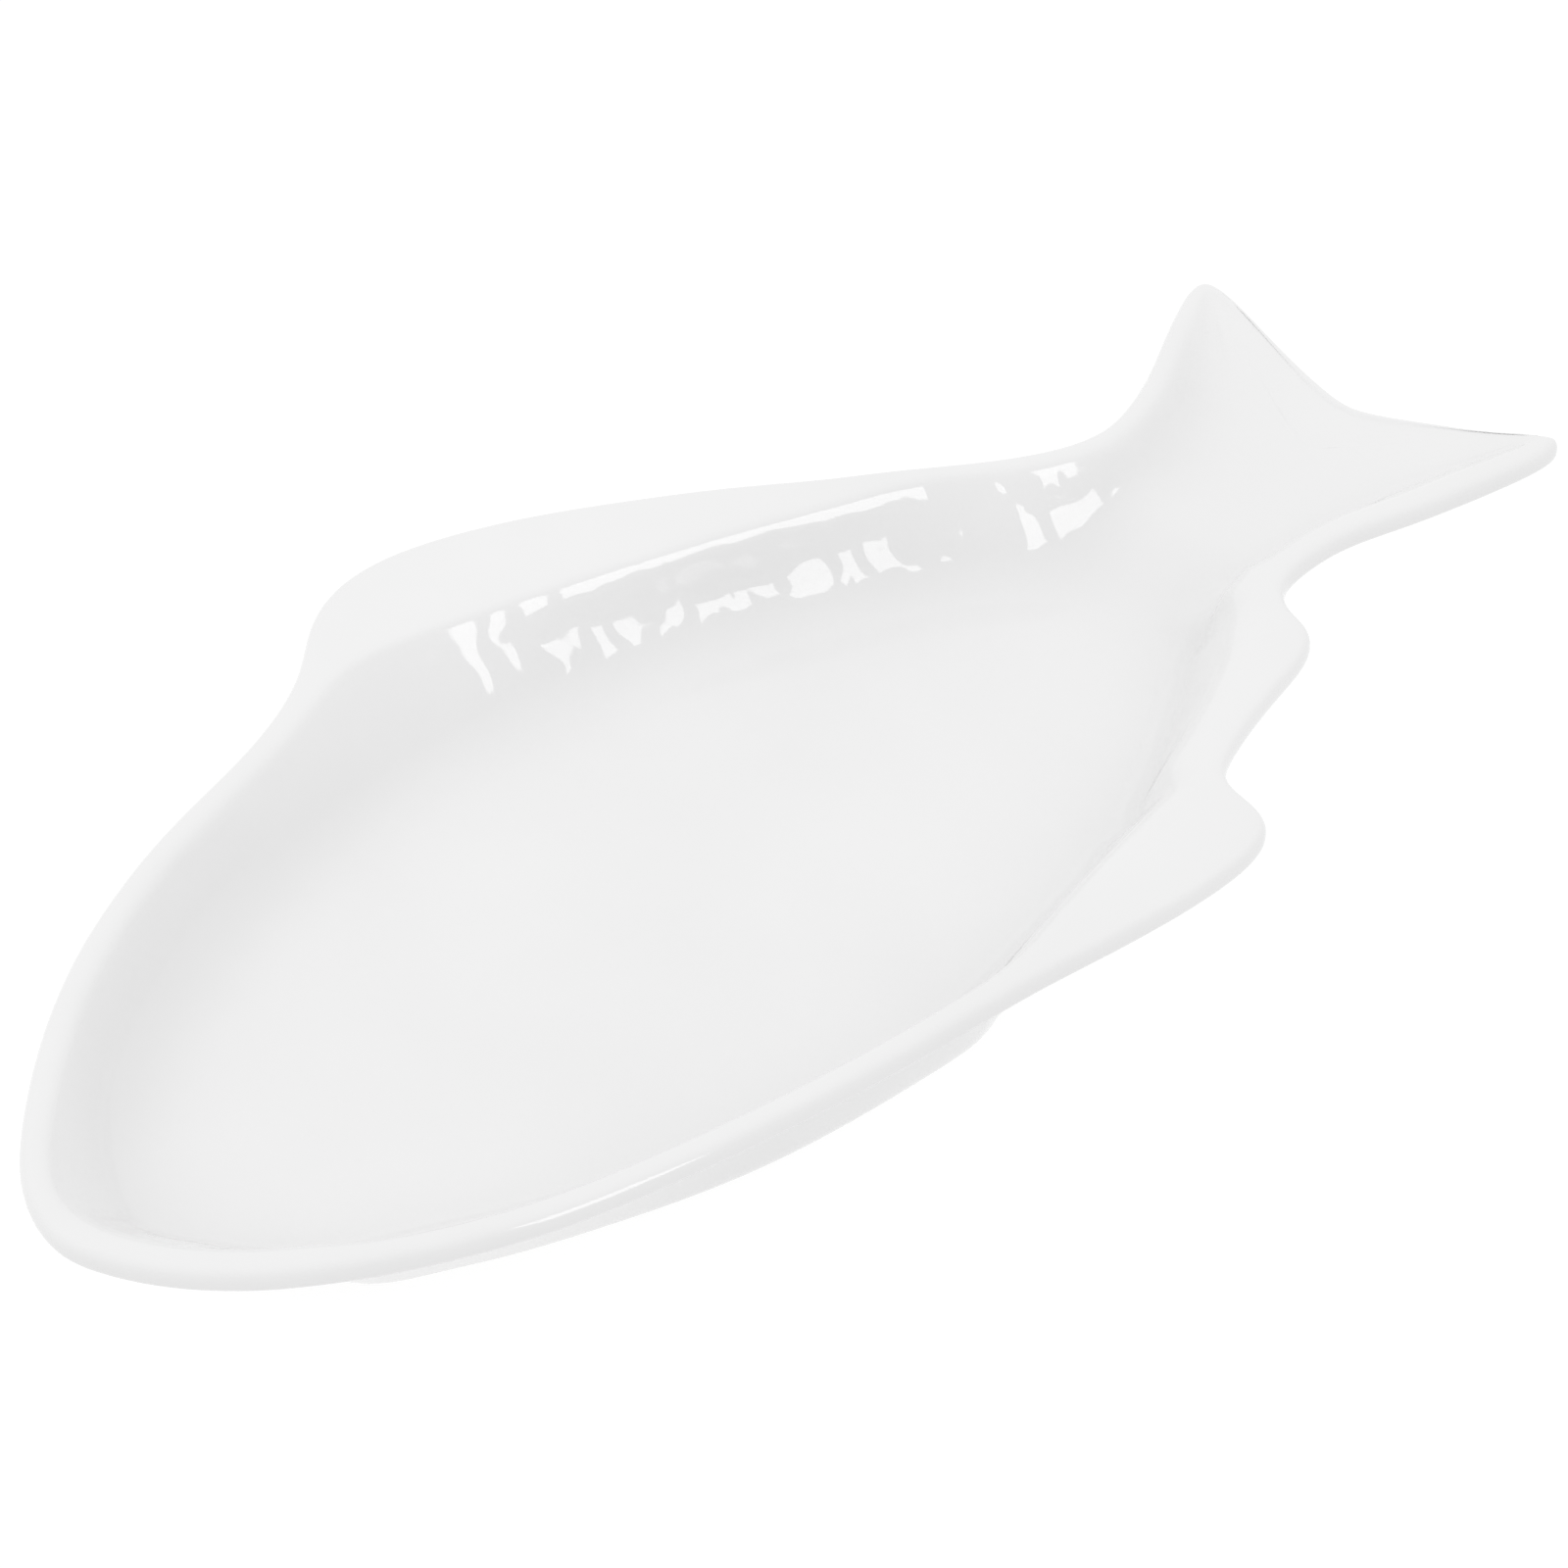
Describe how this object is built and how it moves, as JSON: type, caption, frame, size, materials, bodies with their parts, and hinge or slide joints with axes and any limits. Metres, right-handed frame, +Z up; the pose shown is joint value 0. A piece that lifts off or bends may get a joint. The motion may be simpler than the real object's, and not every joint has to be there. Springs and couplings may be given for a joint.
{
  "type": "fish-shaped platter",
  "caption": "Shallow fish-shaped serving platter with a sunken well, flat fins on its rim, a shallower forked tail and a low foot underneath.",
  "frame": {"origin": "under the middle of the platter's outline, on the table", "axes": "+X from the nose to the tail, +Y towards the back fin, +Z up out of the well"},
  "size_m": [0.304, 0.1534, 0.024],
  "materials": {
    "glaze": "gloss",
    "bare_clay": "matte"
  },
  "bodies": {
    "root": {"platter_body": "glaze", "foot_ring": "bare_clay"}
  },
  "joints": []
}
